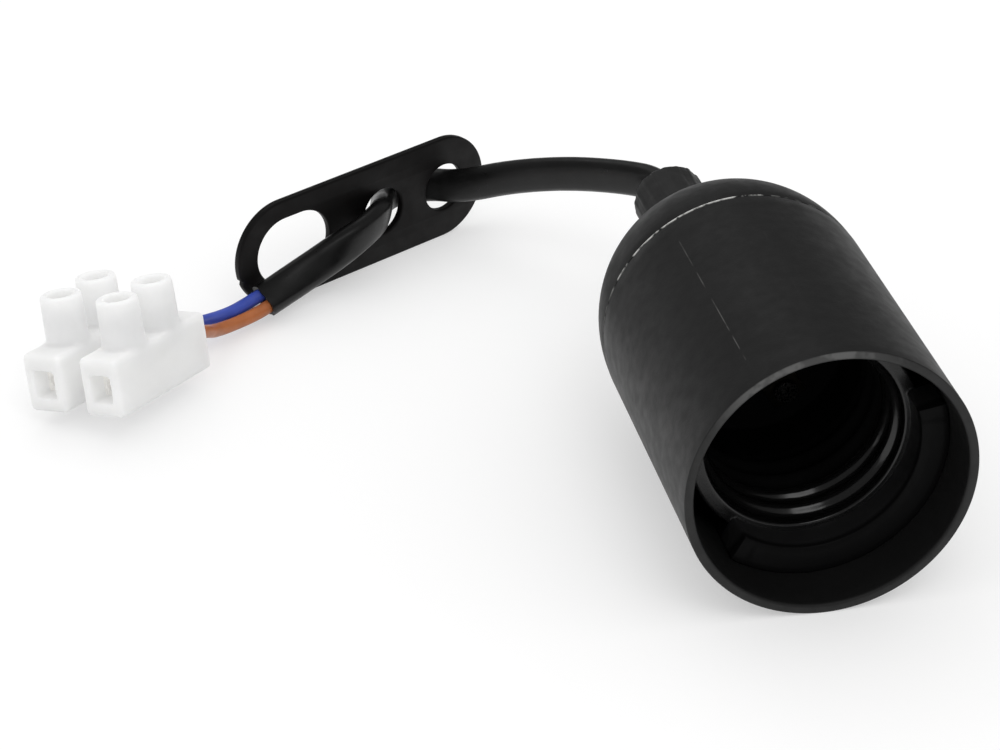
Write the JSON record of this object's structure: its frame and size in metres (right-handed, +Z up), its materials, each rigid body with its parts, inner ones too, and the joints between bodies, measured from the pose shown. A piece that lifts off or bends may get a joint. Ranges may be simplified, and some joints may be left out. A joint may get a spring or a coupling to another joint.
{
  "type": "pendant lamp holder",
  "caption": "Black screw-cap lamp holder with a domed shell, a short flat flex threaded through a hanging plate, and a screw terminal strip.",
  "frame": {"origin": "under the middle of the holder, on the surface that it lies on", "axes": "+Y along the holder's axis from its mouth to its neck, +Z up"},
  "size_m": [0.1164, 0.1192, 0.0386],
  "materials": {
    "shell_plastic": "matt moulded black",
    "liner_plastic": "glossy moulded black",
    "contact_brass": "rolled strip, dark with age",
    "rivet_metal": "dark, tumbled",
    "lug_metal": "tinned",
    "grip_plastic": "matt moulded black",
    "flex_cover": "soft semi-gloss black",
    "blue_insulation": "satin",
    "brown_insulation": "satin",
    "copper": "bright stranded",
    "plate_plastic": "satin black",
    "milky_plastic": "milky satin",
    "tube_brass": "drawn and plated",
    "screw_steel": "zinc plated"
  },
  "bodies": {
    "holder": {"outer_shell": "shell_plastic", "thread_liner": "liner_plastic", "centre_rivet": "rivet_metal", "side_rivet": "rivet_metal", "centre_lug": "lug_metal", "side_lug": "lug_metal", "inner_blue_core": "blue_insulation", "inner_brown_core": "brown_insulation", "cord_grip_sleeve": "grip_plastic", "flex_in_neck": "flex_cover", "flex_sheath": "flex_cover", "blue_core": "blue_insulation", "brown_core": "brown_insulation", "blue_copper_end": "copper", "brown_copper_end": "copper", "hanger_plate": "plate_plastic", "block_housing": "milky_plastic", "brass_tube_blue": "tube_brass", "brass_tube_brown": "tube_brass"},
    "centre_contact": {"centre_contact": "contact_brass"},
    "side_contact": {"side_contact": "contact_brass"},
    "screw_blue_supply": {"screw_blue_supply": "screw_steel"},
    "screw_blue_wired": {"screw_blue_wired": "screw_steel"},
    "screw_brown_supply": {"screw_brown_supply": "screw_steel"},
    "screw_brown_wired": {"screw_brown_wired": "screw_steel"}
  },
  "joints": [
    {"name": "centre_contact_flex", "type": "hinge", "parent": "holder", "child": "centre_contact", "pos_m": [0.00349, -0.00485, 0.01393], "axis": [-0.8387, 0, -0.5446], "range_deg": [0, 4], "stiffness_Nm_per_rad": 0.6},
    {"name": "side_contact_flex", "type": "hinge", "parent": "holder", "child": "side_contact", "pos_m": [-0.00632, -0.00485, 0.02903], "axis": [-0.8387, 0, -0.5446], "range_deg": [0, 3], "stiffness_Nm_per_rad": 0.6},
    {"name": "screw_blue_supply_drive", "type": "slide", "parent": "holder", "child": "screw_blue_supply", "axis": [-0.0776, 0.2047, 0.9757], "range_m": [-0.0015, 0.0003]},
    {"name": "screw_blue_wired_drive", "type": "slide", "parent": "holder", "child": "screw_blue_wired", "axis": [-0.0776, 0.2047, 0.9757], "range_m": [0, 0.0019]},
    {"name": "screw_brown_supply_drive", "type": "slide", "parent": "holder", "child": "screw_brown_supply", "axis": [-0.0776, 0.2047, 0.9757], "range_m": [-0.0015, 0.0003]},
    {"name": "screw_brown_wired_drive", "type": "slide", "parent": "holder", "child": "screw_brown_wired", "axis": [-0.0776, 0.2047, 0.9757], "range_m": [0, 0.0019]}
  ]
}
